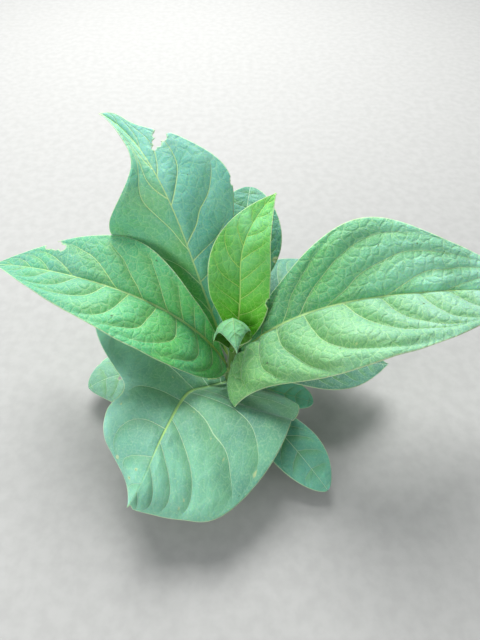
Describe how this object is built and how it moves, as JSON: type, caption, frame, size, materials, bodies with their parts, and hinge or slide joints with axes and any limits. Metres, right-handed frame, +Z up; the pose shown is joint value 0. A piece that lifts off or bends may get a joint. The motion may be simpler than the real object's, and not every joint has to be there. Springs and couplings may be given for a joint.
{
  "type": "tobacco plant",
  "caption": "Young tobacco plant: a rosette of broad veined leaves on a short leaning stem cut flat at the ground.",
  "frame": {"origin": "centre of the flat cut under the stem, at ground level", "axes": "+Z up, away from the ground; +X towards the tip of the longest leaf; -Y towards the front leaf's side"},
  "size_m": [0.6912, 0.4644, 0.3352],
  "materials": {
    "stem": "matt, fine hairs",
    "leaf": "matt, finely hairy"
  },
  "bodies": {
    "root": {"stem": "stem", "leaf_right": "leaf", "leaf_left": "leaf", "leaf_back": "leaf", "leaf_front": "leaf", "leaf_centre": "leaf", "leaf_hooded": "leaf", "leaf_behind": "leaf", "leaf_back_right": "leaf", "leaf_low_back": "leaf", "leaf_low_back_left": "leaf", "leaf_low_left": "leaf", "leaf_low_front": "leaf", "leaf_low_right": "leaf", "leaf_low_small": "leaf", "leaf_sprout": "leaf"}
  },
  "joints": []
}
